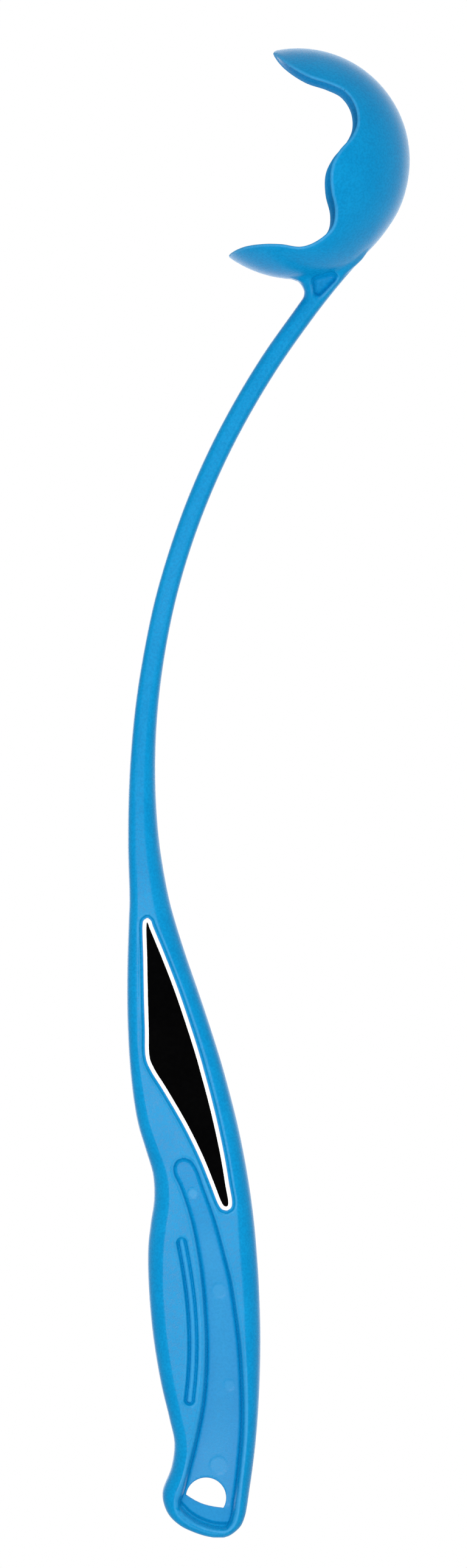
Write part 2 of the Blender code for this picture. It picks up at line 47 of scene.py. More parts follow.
# Sizes of the CAD model
BALL_SPACE = 31.9 * MM
CUP_RADIUS = 34.4 * MM
LOWER_FINGER_EXTRA = 2.1 * MM
STEM_LENGTH = 180.3 * MM
STEM_SWEEP = 50.4 * MM
STEM_WIDTH = 6.15 * MM
NECK_WIDTH = 12.1 * MM
STEM_HALF = 5.5 * MM
GRIP_LENGTH = 196.2 * MM
GRIP_WIDTH = 33.9 * MM
GRIP_HALF = 8.0 * MM
CHANNEL_TOP_DEPTH = 1.8 * MM
CHANNEL_DEEP_DEPTH = 6.5 * MM
GROOVE_DEPTH = 3.0 * MM
HANG_HOLE_RADIUS = 6.2 * MM
CROTCH_DEPTH = 1.8 * MM
LABEL_MARGIN = 0.7 * MM
LABEL_BORDER = 1.2 * MM

# Flanks of the handle: height over width, power of the curve, scale, limit and side draft
LEFT_RISE, RIGHT_RISE = 1.25, 1.6
LEFT_CREASE, RIGHT_CREASE = 2.0, 2.05
FLANK_SCALE = 1.08
FLANK_LIMIT = 0.9
SIDE_DRAFT = 0.02

# Cup: where its wall thickens, as parts of a unit direction, and its rounded rim
THICK_FROM_DOWN = (0.50, 0.80)
THICK_FROM_LEFT = (-0.62, -0.22)
RIM_ROUND = 0.9 * MM

# Web between stem and cup, with turns in degrees round the cup from +X downward
WEB_FILLET = 3.4 * MM
WEB_EDGE_FILLET = 0.5 * MM
WEB_FILLET_FROM = 0.3 * STEM_HALF
WEB_REACH = 1.3 * CUP_RADIUS
WEB_RETREAT = 4 * MM
WEB_RETREAT_TURNS = (42, 58)
WEB_BULGE = 1.5 * MM
WEB_BULGE_FROM, WEB_BULGE_TO, WEB_BULGE_POWER = 34, 61, 1.7
WEB_SWELL = 0.16 * MM
WEB_SWELL_TURNS = (10, 30)
WEB_FADE_TURNS = (56, 76)
WEB_FADE_SIDEWAYS = (0.05, 0.6)
CROTCH_CORNER = 1.9 * MM
CROTCH_DRAFT = 1.2 * MM
CROTCH_ROUND = 0.5 * MM

# Finger channel: leaning walls with a wider brim, lip and foot
CHANNEL_GROWTH = 0.25 * MM
CHANNEL_TOP_DRAFT = 0.85 * MM
CHANNEL_DEEP_DRAFT = 1.2 * MM
CHANNEL_BRIM = 1.6 * MM
CHANNEL_BRIM_SHARE = 0.8
CHANNEL_FOOT_DRAFT = 0.08
CHANNEL_BEND = 0.8 * MM
CHANNEL_LIP = 0.5 * MM
CHANNEL_FILLET = 0.9 * MM

# Terraced wall at the channel's tail, its slopes as (width, height) in millimetres, lip first
TAIL_BELOW_SHARE = -0.15
TAIL_LIP = 0.6 * MM
TAIL_LIP_FROM, TAIL_LIP_TO = 0.20, 0.28
TAIL_TERRACES = [(0.75, 0.5), (1.05, 2.6), (0.35, 0.15), (0.85, 2.0), (4.6, 1.25)]
TERRACE_TOP_BEND = 0.5 * MM
TERRACE_LOW_BEND = 0.2 * MM
TERRACE_FOOT_FILLET = 0.3 * MM
TERRACE_STEP_FILLET = 0.15 * MM
TAIL_CORNER = 0.3 * MM

# Groove with its rib, hang hole and ejector marks
GROOVE_WIDTH = 3.9 * MM
GROOVE_LIP = 0.35 * MM
GROOVE_DRAFT = 0.6
GROOVE_FILLET = 0.3 * MM
RIB_WIDTH = 1.4 * MM
RIB_DROP = 0.5 * MM
RIB_DRAFT = 0.3
RIB_ROUND = 0.65 * MM
RIB_SHIFT = 0.15 * MM
RIB_LEAD = 30
HOLE_ROUND = 0.4 * MM
EJECTOR_MARK_DEPTH = 0.06 * MM
EJECTOR_MARK_EDGE = 0.9 * MM
EJECTOR_MARK_BELOW = 1 * MM
EJECTOR_MARK_LEVEL = 0.9

# Label: its recess, then each layer's inset, the depths of its two faces and its rounded edge
LABEL_RECESS = 0.75 * MM
RECESS_LIP = 0.3 * MM
RECESS_DRAFT = 0.35 * MM
RECESS_FILLET = 0.3 * MM
VINYL = (0.0, 0.73 * MM, 0.30 * MM, 0.20 * MM)
PANEL = (LABEL_BORDER, 0.32 * MM, 0.10 * MM, 0.08 * MM)
LABEL_STEPS = 6
INSET_SLACK = 0.02 * MM
# Rounded edge: shares of its size inward and downward, and how far its normal points up
EDGE_PROFILE = [(0.0, 1.0, 0.0), (0.13, 0.5, 0.5), (0.5, 0.13, 0.87), (1.0, 0.0, 1.0)]

# Shading: share of a full bend, band of the cut rim, and the strength of the painted sheen on the
# channels' floors and where it fades
BEND_SHARE = 0.6
RIM_BAND = (0.05 * MM, 0.4 * MM)
CHANNEL_SHEEN = 0.7
SHEEN_INSET = (0.8 * MM, 2.2 * MM)
SHEEN_LEVEL = (0.8, 0.97)
SHEEN_DEPTH = (1.9 * MM, 3.0 * MM)

# Linear colours, each pair for the two ends of a slight mottling
BLUE_CRESTS = [(0.0, 0.296, 0.640), (0.002, 0.318, 0.670)]
BLUE_HOLLOWS = [(0.0, 0.248, 0.558), (0.001, 0.266, 0.584)]
# Painted highlight that the convex edges take
BLUE_EDGE_HIGHLIGHT = (0.080, 0.405, 0.760)
# Painted shade that the concave fillets take
BLUE_FILLET_SHADE = (0.0, 0.215, 0.500)
# Paler tone: painted sheen on the channels' floors, and the ejector marks' own paler finish
BLUE_SHEEN_AND_MARKS = (0.060, 0.375, 0.700)
FILM_WHITES = [(0.92, 0.92, 0.915), (0.95, 0.95, 0.945)]
PRINT_BLACKS = [(0.0002, 0.0002, 0.0003), (0.0007, 0.0007, 0.0008)]

# Outlines as shares of (grip width, grip length) from the origin
GRIP_LEFT_SHARES = [
    (-0.691, 0.638), (-0.702, 0.581), (-0.706, 0.524), (-0.700, 0.467), (-0.681, 0.410),
    (-0.643, 0.352), (-0.601, 0.314), (-0.534, 0.276), (-0.471, 0.238), (-0.461, 0.200),
    (-0.492, 0.162), (-0.515, 0.124), (-0.511, 0.067), (-0.473, -0.010), (-0.401, -0.086),
    (-0.323, -0.143), (-0.278, -0.181), (-0.304, -0.219), (-0.384, -0.257), (-0.374, -0.276),
    (-0.323, -0.295), (-0.230, -0.310), (-0.128, -0.319), (-0.012, -0.326), (0.072, -0.329),
]
GRIP_RIGHT_SHARES = [
    (-0.276, 0.638), (-0.172, 0.581), (-0.058, 0.524), (0.052, 0.467), (0.155, 0.410),
    (0.246, 0.352), (0.300, 0.314), (0.346, 0.276), (0.386, 0.238), (0.420, 0.200),
    (0.447, 0.162), (0.467, 0.124), (0.489, 0.067), (0.503, -0.010), (0.496, -0.086),
    (0.478, -0.143), (0.459, -0.181), (0.433, -0.219), (0.401, -0.257), (0.385, -0.276),
    (0.363, -0.295), (0.327, -0.310), (0.279, -0.319), (0.221, -0.326), (0.171, -0.329),
]
NECK_SHARE = (-0.508, 0.671)
LABEL_LEFT_SHARES = [
    (-0.534, 0.640), (-0.562, 0.636), (-0.570, 0.629), (-0.564, 0.581), (-0.558, 0.524),
    (-0.549, 0.467), (-0.540, 0.421), (-0.496, 0.402), (-0.384, 0.371), (-0.192, 0.314),
    (-0.050, 0.264), (0.044, 0.224), (0.118, 0.192), (0.149, 0.185), (0.182, 0.183),
]
LABEL_RIGHT_SHARES = [
    (-0.518, 0.640), (-0.493, 0.636), (-0.474, 0.627), (-0.385, 0.590), (-0.256, 0.533),
    (-0.143, 0.476), (-0.050, 0.425), (0.006, 0.390), (0.050, 0.362), (0.117, 0.314),
    (0.176, 0.265), (0.215, 0.224), (0.242, 0.195), (0.231, 0.187), (0.198, 0.183),
]
CHANNEL_LEFT_SHARES = [
    (-0.212, 0.265), (-0.258, 0.261), (-0.288, 0.252), (-0.284, 0.240), (-0.228, 0.219),
    (-0.132, 0.167), (-0.069, 0.110), (-0.043, 0.074), (-0.025, 0.038), (-0.009, -0.029),
    (-0.032, -0.105), (-0.089, -0.162), (-0.160, -0.213), (-0.226, -0.256), (-0.256, -0.272),
    (-0.248, -0.286), (-0.204, -0.296), (-0.105, -0.308), (0.028, -0.317), (0.083, -0.319),
]
CHANNEL_RIGHT_SHARES = [
    (-0.182, 0.265), (-0.130, 0.261), (-0.094, 0.253), (-0.067, 0.244), (-0.016, 0.219),
    (0.094, 0.167), (0.181, 0.114), (0.238, 0.076), (0.277, 0.038), (0.330, -0.029),
    (0.358, -0.105), (0.358, -0.162), (0.335, -0.213), (0.306, -0.256), (0.292, -0.272),
    (0.281, -0.286), (0.264, -0.298), (0.242, -0.308), (0.193, -0.317), (0.138, -0.320),
]
TAIL_FOOT_SHARES = [
    (-0.420, -0.262), (-0.248, -0.288), (-0.204, -0.296), (-0.105, -0.308), (0.028, -0.317),
    (0.138, -0.320), (0.260, -0.319), (0.420, -0.316),
]
GROOVE_SHARES = [
    (-0.215, 0.132), (-0.171, 0.090), (-0.129, 0.033), (-0.113, -0.024), (-0.124, -0.076),
    (-0.146, -0.113),
]
CHANNEL_TOP_SHARE = 0.265
CHANNEL_DEEP_SHARE = -0.20
HANG_HOLE_SHARE = (0.009, -0.267)
HANG_HOLE_FROM, HANG_HOLE_TO = radians(171.0), radians(-30.0)
HANG_HOLE_STEPS = 40
HANG_HOLE_BOW_SHARES = [(0.25, 0.10), (0.5, 0.15), (0.75, 0.11)]
EJECTOR_MARK_SHARES = [
    (-0.116, 0.210, 0.24), (0.127, 0.058, 0.36), (0.220, -0.090, 0.28), (0.121, -0.216, 0.44),
]

# Widths of the rounded flanks on the left and the right, in millimetres, at heights in millimetres
FLANKS = [
    (-66.0, 1.9, 1.9), (-59.8, 2.3, 2.2), (-52.3, 3.4, 3.0), (-44.8, 4.4, 3.4), (-37.4, 3.6, 3.4),
    (-29.9, 3.5, 3.6), (-18.7, 3.7, 4.0), (-3.7, 3.9, 4.5), (11.2, 4.1, 4.8), (26.2, 4.5, 5.0),
    (41.1, 4.3, 4.4), (56.0, 3.4, 4.2), (71.0, 3.0, 4.0), (85.9, 2.5, 3.7), (100.9, 2.6, 3.9),
    (115.8, 2.4, 4.8), (127.0, 2.3, 5.0), (138.3, 2.1, 4.5), (153.2, 2.1, 4.0), (168.2, 1.9, 3.4),
    (190.6, 1.85, 2.7), (213.0, 1.7, 2.0), (239.2, 1.7, 1.95), (265.3, 2.0, 2.0),
    (287.7, 2.0, 2.0), (302.7, 2.3, 2.1), (400.0, 2.3, 2.1),
]

# Stem: shares of (sweep, length) from the neck, with the width's share of the neck's swell
STEM_SHARES = [
    (0.0, 0.0, 1.0), (-0.031, 0.088, 0.61), (-0.041, 0.171, 0.38), (-0.034, 0.254, 0.23),
    (-0.009, 0.337, 0.13), (0.035, 0.420, 0.06), (0.096, 0.503, 0.03), (0.179, 0.585, 0.0),
    (0.284, 0.668, 0.0), (0.413, 0.751, 0.0), (0.568, 0.834, 0.0), (0.749, 0.917, 0.0),
    (0.959, 1.0, 0.0),
]

# Cup, web and rim: shares of the cup's radius
CUP_PLACE_SHARES = (1.052, 0.835)
WEB_LEFT_SHARES = [
    (-0.966, 0.743), (-0.922, 0.719), (-0.893, 0.674), (-0.880, 0.625), (-0.854, 0.552),
    (-0.748, 0.553), (-0.567, 0.584), (-0.304, 0.644),
]
WEB_RIGHT_SHARES = [
    (-0.782, 0.936), (-0.570, 0.953), (-0.428, 0.968), (-0.282, 0.986), (-0.135, 1.003),
    (-0.012, 0.988), (0.054, 0.942), (0.037, 0.831),
]
CROTCH_SHARES = [(-0.790, 0.768), (-0.688, 0.850), (-0.850, 0.820)]
RIM_SHARES = [
    (-0.203, 1.10), (-0.210, 0.985), (-0.223, 0.962), (-0.201, 0.929), (-0.103, 0.832),
    (0.087, 0.715), (0.274, 0.652), (0.408, 0.582), (0.492, 0.457), (0.508, 0.307),
    (0.459, 0.190), (0.340, 0.049), (0.274, -0.092), (0.271, -0.277), (0.310, -0.467),
    (0.288, -0.611), (0.158, -0.734), (0.013, -0.788), (-0.170, -0.766), (-0.336, -0.764),
    (-0.502, -0.788), (-0.619, -0.847), (-0.72, -0.98),
]
MOUTH_CORNER_SHARES = [(-1.6, 1.3), (-1.6, -1.15)]

# Lines of the surface's grid in millimetres: a start, then each run's end and pitch
COARSER = 1.0
GRID_X = [-25.2, (-20.4, 0.6), (-9.6, 0.36), (1.2, 0.3), (11.0, 0.36), (18.0, 0.45), (64.2, 0.6)]
GRID_Y = [-0.3, (8.4, 0.3), (33.6, 0.6)]
GRID_Z = [
    -66.0, (-53.4, 0.25), (-47.0, 0.35), (-24.0, 0.6), (-20.0, 0.35), (24.0, 0.6), (28.0, 0.35),
    (33.6, 0.6), (38.4, 0.36), (46.2, 0.6), (53.4, 0.36), (121.5, 0.6), (127.2, 0.36),
    (313.0, 0.8), (394.2, 0.6),
]

# How far the distances to an outline reach, and the slabs that they are worked out in
REACH = 9.0 * MM
TAIL_REACH = 4 * REACH
CUT_REACH = 3 * MM
GROOVE_REACH = 5 * MM
SLAB = 5 * MM

# Search for the surface, and the steps that settle its points
BLOCK = 8
SEARCH_SHARE = 1.35
SEARCH_MARGIN = 0.1 * MM
INSIDE_EXCESS = 2
NUDGE = 1e-10
SETTLE_PASSES = 3
SETTLE_STEP = 0.25 * MM
LEAST_SLOPE = 0.05


def ease(value, low, high):
    """From 0 at low to 1 at high, level at both ends."""
    t = np.clip((value - low) / (high - low), 0.0, 1.0)
    return t * t * (3 - 2 * t)


def smooth_path(points, steps=12):
    """Centripetal Catmull-Rom curve through points."""
    points = np.asarray(points, float)
    chain = np.vstack([2 * points[0] - points[1], points, 2 * points[-1] - points[-2]])
    share = np.arange(steps)[:, None] / steps
    parts = []
    for a, b, c, d in zip(chain, chain[1:], chain[2:], chain[3:]):
        ka = np.linalg.norm(b - a) ** 0.5
        kb = ka + np.linalg.norm(c - b) ** 0.5
        kc = kb + np.linalg.norm(d - c) ** 0.5
        t = ka + (kb - ka) * share
        ab = a + (b - a) * t / ka
        bc = b + (c - b) * (t - ka) / (kb - ka)
        cd = c + (d - c) * (t - kb) / (kc - kb)
        abc = ab + (bc - ab) * t / kb
        bcd = bc + (cd - bc) * (t - ka) / (kc - ka)
        parts.append(abc + (bcd - abc) * (t - ka) / (kb - ka))
    return np.vstack(parts + [points[-1:]])


def on_grip(shares):
    return np.asarray(shares, float)[..., :2] * (GRIP_WIDTH, GRIP_LENGTH)


def loop(left, right, steps=12):
    """Closed outline from its left and right edges, both from the top down."""
    return np.vstack([smooth_path(left, steps), smooth_path(right, steps)[::-1]])


class Outline:
    """Line in the XZ plane, open or closed, that gives distances to points near it."""

    def __init__(self, points, closed=True):
        points = np.asarray(points, float)
        ends = np.roll(points, -1, axis=0)
        if not closed:
            points, ends = points[:-1], ends[:-1]
        keep = np.linalg.norm(ends - points, axis=1) > 1e-9
        self.starts, self.ends, self.closed = points[keep], ends[keep], closed
        every = np.vstack([self.starts, self.ends])
        self.low, self.high = every.min(0), every.max(0)

    def near(self, q, reach):
        """Which points lie within reach of the outline's box."""
        return ((q > self.low - reach) & (q < self.high + reach)).all(1)

    def survey(self, q, reach=REACH):
        """Distance to the line, at most reach, and which points a closed line holds."""
        found = np.full(len(q), reach)
        within = np.zeros(len(q), bool)
        order = np.argsort(q[:, 1])
        height = q[order, 1]
        slabs = np.arange(height[0], height[-1] + SLAB, SLAB)
        cuts = np.searchsorted(height, slabs)
        cuts[-1] = len(q)
        low = np.minimum(self.starts[:, 1], self.ends[:, 1])
        high = np.maximum(self.starts[:, 1], self.ends[:, 1])
        for first, last in zip(cuts, cuts[1:]):
            if first == last:
                continue
            part = order[first:last]
            x, z = q[part, 0][:, None], q[part, 1][:, None]
            use = (low < z.max() + reach) & (high > z.min() - reach)
            if not use.any():
                continue
            a, b = self.starts[use], self.ends[use]
            run = b - a
            t = ((x - a[:, 0]) * run[:, 0] + (z - a[:, 1]) * run[:, 1]) / (run ** 2).sum(1)
            np.clip(t, 0, 1, out=t)
            gap = (x - a[:, 0] - t * run[:, 0]) ** 2 + (z - a[:, 1] - t * run[:, 1]) ** 2
            found[part] = np.minimum(np.sqrt(gap.min(1)), reach)
            if self.closed:
                flat = np.where(run[:, 1] == 0, 1.0, run[:, 1])
                spans = (a[:, 1] > z) != (b[:, 1] > z)
                left_of = x < a[:, 0] + (z - a[:, 1]) * run[:, 0] / flat
                within[part] = (spans & left_of).sum(1) % 2 == 1
        return found, within

    def inside(self, q, reach=REACH):
        """Distance inside a closed outline, or minus the distance to an open line."""
        found, within = self.survey(q, reach)
        return np.where(within, found, -found)


def round_max(a, b, radius):
    """Where both solids are, with a rounded edge between them."""
    corner = np.hypot(np.maximum(a + radius, 0), np.maximum(b + radius, 0))
    return np.minimum(-radius, np.maximum(a, b)) + corner


def round_min(a, b, radius):
    """Where either solid is, with a fillet between them."""
    return -round_max(-a, -b, radius)


# The stem's stations, and the cup's place from its upper end
NECK = on_grip(NECK_SHARE)
STATIONS = NECK + np.array([s[:2] for s in STEM_SHARES]) * (STEM_SWEEP, STEM_LENGTH)
WIDTHS = STEM_WIDTH + (NECK_WIDTH - STEM_WIDTH) * np.array([s[2] for s in STEM_SHARES])
TANGENTS = np.gradient(STATIONS, axis=0)
TANGENTS /= np.linalg.norm(TANGENTS, axis=1)[:, None]
ASIDES = np.stack([TANGENTS[:, 1], -TANGENTS[:, 0]], 1)
ALONG, ASIDE = TANGENTS[-1], ASIDES[-1]
CUP = STATIONS[-1] + (ALONG * CUP_PLACE_SHARES[0] - ASIDE * CUP_PLACE_SHARES[1]) * CUP_RADIUS


def on_web(shares):
    shares = np.asarray(shares, float)
    return CUP + (shares[:, :1] * ALONG + shares[:, 1:] * ASIDE) * CUP_RADIUS


def on_cup(shares):
    return CUP + np.asarray(shares, float) * CUP_RADIUS


def hang_hole_outline():
    """D-shaped hole: an arc, closed by a slightly bowed chord."""
    centre = on_grip(HANG_HOLE_SHARE)
    turns = np.linspace(HANG_HOLE_FROM, HANG_HOLE_TO, HANG_HOLE_STEPS)
    arc = centre + np.stack([np.cos(turns), np.sin(turns)], 1) * HANG_HOLE_RADIUS
    chord = arc[0] - arc[-1]
    below = np.array([-chord[1], chord[0]]) / np.linalg.norm(chord) * HANG_HOLE_RADIUS
    bow = [arc[-1] + chord * along + below * out for along, out in HANG_HOLE_BOW_SHARES]
    return np.vstack([arc, smooth_path([arc[-1], *bow, arc[0]], 6)[1:-1]])


def mouth_outline():
    """What is cut from the ball of the cup: everything left of the rim."""
    rim = smooth_path(on_cup(RIM_SHARES))
    top, foot = on_cup(MOUTH_CORNER_SHARES)
    return np.vstack([[(rim[0, 0], top[1])], rim, [(rim[-1, 0], foot[1])], [foot], [top]])


HALVES = ASIDES * WIDTHS[:, None] / 2
LEFT_EDGE = smooth_path(np.vstack([
    on_web(WEB_LEFT_SHARES)[::-1], (STATIONS - HALVES)[::-1], on_grip(GRIP_LEFT_SHARES)]))
RIGHT_EDGE = smooth_path(np.vstack([
    on_web(WEB_RIGHT_SHARES)[::-1], (STATIONS + HALVES)[::-1], on_grip(GRIP_RIGHT_SHARES)]))
LEFT = Outline(np.vstack([LEFT_EDGE, RIGHT_EDGE[-1:]]), closed=False)
RIGHT = Outline(RIGHT_EDGE, closed=False)
HANDLE = Outline(np.vstack([LEFT_EDGE, RIGHT_EDGE[::-1]]))
MOUTH = Outline(mouth_outline())
CHANNEL = Outline(loop(on_grip(CHANNEL_LEFT_SHARES), on_grip(CHANNEL_RIGHT_SHARES)))
TAIL_FOOT = Outline(smooth_path(on_grip(TAIL_FOOT_SHARES)), closed=False)
GROOVE_LINE = smooth_path(on_grip(GROOVE_SHARES))
GROOVE = Outline(GROOVE_LINE, closed=False)
RIB_START = GROOVE_LINE[0] + (GROOVE_LINE[0] - GROOVE_LINE[1]) * RIB_LEAD
RIB = Outline(np.vstack([[RIB_START], GROOVE_LINE]) + (RIB_SHIFT, 0), closed=False)
LABEL = Outline(loop(on_grip(LABEL_LEFT_SHARES), on_grip(LABEL_RIGHT_SHARES)))
HANG_HOLE = Outline(hang_hole_outline())
CROTCH = Outline(on_web(CROTCH_SHARES))
FLANK_LINE = smooth_path([(z * MM, left * MM, right * MM) for z, left, right in FLANKS], 6)


def half_thickness(z):
    rise = ease(z, NECK[1], NECK[1] + STEM_LENGTH / 2)
    return GRIP_HALF + (STEM_HALF - GRIP_HALF) * rise


def channel_depth(z):
    rise = ease(z, CHANNEL_DEEP_SHARE * GRIP_LENGTH, CHANNEL_TOP_SHARE * GRIP_LENGTH)
    return CHANNEL_DEEP_DEPTH + (CHANNEL_TOP_DEPTH - CHANNEL_DEEP_DEPTH) * rise


def leaning(gap, depth, width, height):
    """Distance to a wall that leans in by a width over a height; negative in the open pocket."""
    return (depth * width - gap * height) / np.hypot(width, height)


def handle(q, y):
    """Grip, stem and web: flat faces that roll over rounded flanks to slightly drafted sides.

    A crease of 2 makes a flank an ellipse. No flank takes more than FLANK_LIMIT of the half.
    """
    z = q[:, 1]
    half = half_thickness(z)
    _, within = HANDLE.survey(q)
    left, right = LEFT.survey(q)[0], RIGHT.survey(q)[0]
    left_in = np.where(within | (left > right), left, -left) - SIDE_DRAFT * y
    right_in = np.where(within | (right > left), right, -right) - SIDE_DRAFT * y
    left_flank = np.interp(z, FLANK_LINE[:, 0], FLANK_LINE[:, 1]) * FLANK_SCALE
    right_flank = np.interp(z, FLANK_LINE[:, 0], FLANK_LINE[:, 2]) * FLANK_SCALE
    share = np.clip(left / np.maximum(left + right, 1e-9), 0, 1)
    rise = left_flank * LEFT_RISE + (right_flank * RIGHT_RISE - left_flank * LEFT_RISE) * share
    rise = np.minimum(rise, half * FLANK_LIMIT)
    crease = LEFT_CREASE + (RIGHT_CREASE - LEFT_CREASE) * share
    u = np.maximum(left_flank - left_in, 0) / left_flank
    w = np.maximum(right_flank - right_in, 0) / right_flank
    v = np.maximum(y - half + rise, 0) / rise
    flank = np.where(u > w, left_flank, right_flank)
    u = np.maximum(u, w)
    size = np.maximum((u ** crease + v ** crease) ** (1 / crease), 1e-6)
    slope = np.hypot((u / size) ** (crease - 1) / flank, (v / size) ** (crease - 1) / rise)
    return (size - 1) / np.maximum(slope, 1 / half)


def cup(x, y, z):
    """Outside of the cup, the ball's own space, and the turn of each point.

    The cup is thicker under the lower finger, and swells out to meet the stem's outer edge.
    """
    far = np.maximum(np.sqrt(x * x + y * y + z * z), 1e-6)
    under = ease(-z / far, *THICK_FROM_DOWN) * ease(-x / far, *THICK_FROM_LEFT)
    turn = np.degrees(np.arctan2(-z, x))
    bulge = np.clip((turn - WEB_BULGE_FROM) / (WEB_BULGE_TO - WEB_BULGE_FROM), 0, 1)
    swell = WEB_BULGE * bulge ** WEB_BULGE_POWER + WEB_SWELL * ease(turn, *WEB_SWELL_TURNS)
    swell *= (1 - ease(turn, *WEB_FADE_TURNS)) * (1 - ease(y / far, *WEB_FADE_SIDEWAYS))
    return far - CUP_RADIUS - LOWER_FINGER_EXTRA * under - swell, BALL_SPACE - far, turn


def channel_pocket(q, y):
    """The finger channel, with leaning walls and a terraced one at the tail."""
    down = GRIP_HALF - y
    z = q[:, 1]
    depth = channel_depth(z)
    share = (depth - CHANNEL_TOP_DEPTH) / (CHANNEL_DEEP_DEPTH - CHANNEL_TOP_DEPTH)
    draft = CHANNEL_TOP_DRAFT + (CHANNEL_DEEP_DRAFT - CHANNEL_TOP_DRAFT) * share
    brim = np.minimum(CHANNEL_BRIM_SHARE * depth, CHANNEL_BRIM)
    gap = CHANNEL.inside(q) + CHANNEL_GROWTH
    foot = leaning(gap - draft, down - brim, CHANNEL_FOOT_DRAFT, 1.0)
    wall = round_min(leaning(gap, down, draft, brim), foot, CHANNEL_BEND)
    pocket = round_max(wall, down - depth, CHANNEL_FILLET)
    low = z < TAIL_BELOW_SHARE * GRIP_LENGTH
    if low.any():
        above = -TAIL_FOOT.inside(q[low], TAIL_REACH)
        fall = down[low]
        slopes = []
        for width, height in TAIL_TERRACES:
            slopes.append(leaning(above, fall, width * MM, height * MM))
            above = above - width * MM
            fall = fall - height * MM
        upper = round_min(slopes[0], slopes[1], TERRACE_TOP_BEND)
        lower = round_min(slopes[2], slopes[3], TERRACE_LOW_BEND)
        lower = round_max(lower, slopes[4], TERRACE_FOOT_FILLET)
        tail = round_max(lower, upper, TERRACE_STEP_FILLET)
        pocket[low] = round_max(pocket[low], tail, TAIL_CORNER)
    return pocket


def cut(solid, q, shape, tool, radius):
    """Take a tool away from the solid near its outline."""
    near = shape.near(q, CUT_REACH)
    if near.any():
        solid[near] = round_max(solid[near], -tool(near), radius)


def moulding(p):
    """Distance to the moulding's surface, negative inside. Both sides are alike."""
    q, y = p[:, [0, 2]], np.abs(p[:, 1])
    solid = handle(q, y)
    outside, ball, turn = cup(q[:, 0] - CUP[0], y, q[:, 1] - CUP[1])
    # Past the web's outer edge the handle draws back behind the cup
    high = q[:, 1] > CUP[1] - WEB_REACH
    solid = solid + np.where(high, WEB_RETREAT * (1 - ease(turn, *WEB_RETREAT_TURNS)), 0)
    # The fillet between them is small at the middle plane and wide at the faces
    widen = ease(y, WEB_FILLET_FROM, STEM_HALF)
    fillet = WEB_EDGE_FILLET + (WEB_FILLET - WEB_EDGE_FILLET) * widen
    blend = np.maximum(fillet - np.abs(solid - outside), 0) / fillet
    solid = np.minimum(solid, outside) - blend * blend * fillet / 4
    solid = np.maximum(solid, ball)
    near = MOUTH.near(q, CUT_REACH)
    if near.any():
        solid[near] = round_max(solid[near], MOUTH.inside(q[near]), RIM_ROUND)
    cut(solid, q, CROTCH, lambda m: round_max(
        leaning(CROTCH.inside(q[m]) + CROTCH_CORNER, np.maximum(STEM_HALF - y[m], 0),
                CROTCH_DRAFT, CROTCH_DEPTH),
        STEM_HALF - y[m] - CROTCH_DEPTH, CROTCH_ROUND), CROTCH_ROUND)
    cut(solid, q, LABEL, lambda m: round_max(
        leaning(LABEL.inside(q[m]) + LABEL_MARGIN + RECESS_DRAFT, GRIP_HALF - y[m],
                RECESS_DRAFT, LABEL_RECESS),
        GRIP_HALF - y[m] - LABEL_RECESS, RECESS_FILLET), RECESS_LIP)
    tail = ease(-q[:, 1], TAIL_LIP_FROM * GRIP_LENGTH, TAIL_LIP_TO * GRIP_LENGTH)
    lip = CHANNEL_LIP + (TAIL_LIP - CHANNEL_LIP) * tail
    near = CHANNEL.near(q, CUT_REACH)
    if near.any():
        solid[near] = round_max(solid[near], -channel_pocket(q[near], y[near]), lip[near])
    near = GROOVE.near(q, GROOVE_REACH)
    if near.any():
        down = GRIP_HALF - y[near]
        beside = -GROOVE.inside(q[near]) - GROOVE_WIDTH / 2
        groove = 1 / np.hypot(1, GROOVE_DRAFT) * (beside + down * GROOVE_DRAFT)
        groove = round_max(groove, down - GROOVE_DEPTH, GROOVE_FILLET)
        rib = -RIB.inside(q[near]) - RIB_WIDTH / 2 - (down - RIB_DROP) * RIB_DRAFT
        rib = round_max(rib / np.hypot(1, RIB_DRAFT), RIB_DROP - down, RIB_ROUND)
        solid[near] = round_min(round_max(solid[near], -groove, GROOVE_LIP), rib, GROOVE_FILLET)
    cut(solid, q, HANG_HOLE, lambda m: -HANG_HOLE.inside(q[m]), HOLE_ROUND)
    return solid


def gradient(field, p, step=0.04 * MM):
    """Slope of the field from four samples round each point."""
    total = np.zeros_like(p)
    for corner in ((1, 1, 1), (1, -1, -1), (-1, 1, -1), (-1, -1, 1)):
        corner = np.array(corner, float)
        total += corner * field(p + corner * step)[:, None]
    return total / (4 * step)


def bending(field, p, step=0.35 * MM):
    """How sharply the surface bends, per millimetre: positive on edges, negative in fillets."""
    total = -4 * field(p)
    for corner in ((1, 1, 1), (1, -1, -1), (-1, 1, -1), (-1, -1, 1)):
        total += field(p + np.array(corner, float) * step)
    return total / (2 * step * step) * MM


def ruler(runs):
    """Coordinates of the grid's lines from a start and (end, pitch) runs in millimetres."""
    lines = [runs[0]]
    for end, pitch in runs[1:]:
        count = max(1, round((end - lines[-1]) / (pitch * COARSER)))
        lines += list(np.linspace(lines[-1], end, count + 1)[1:])
    return np.array(lines) * MM


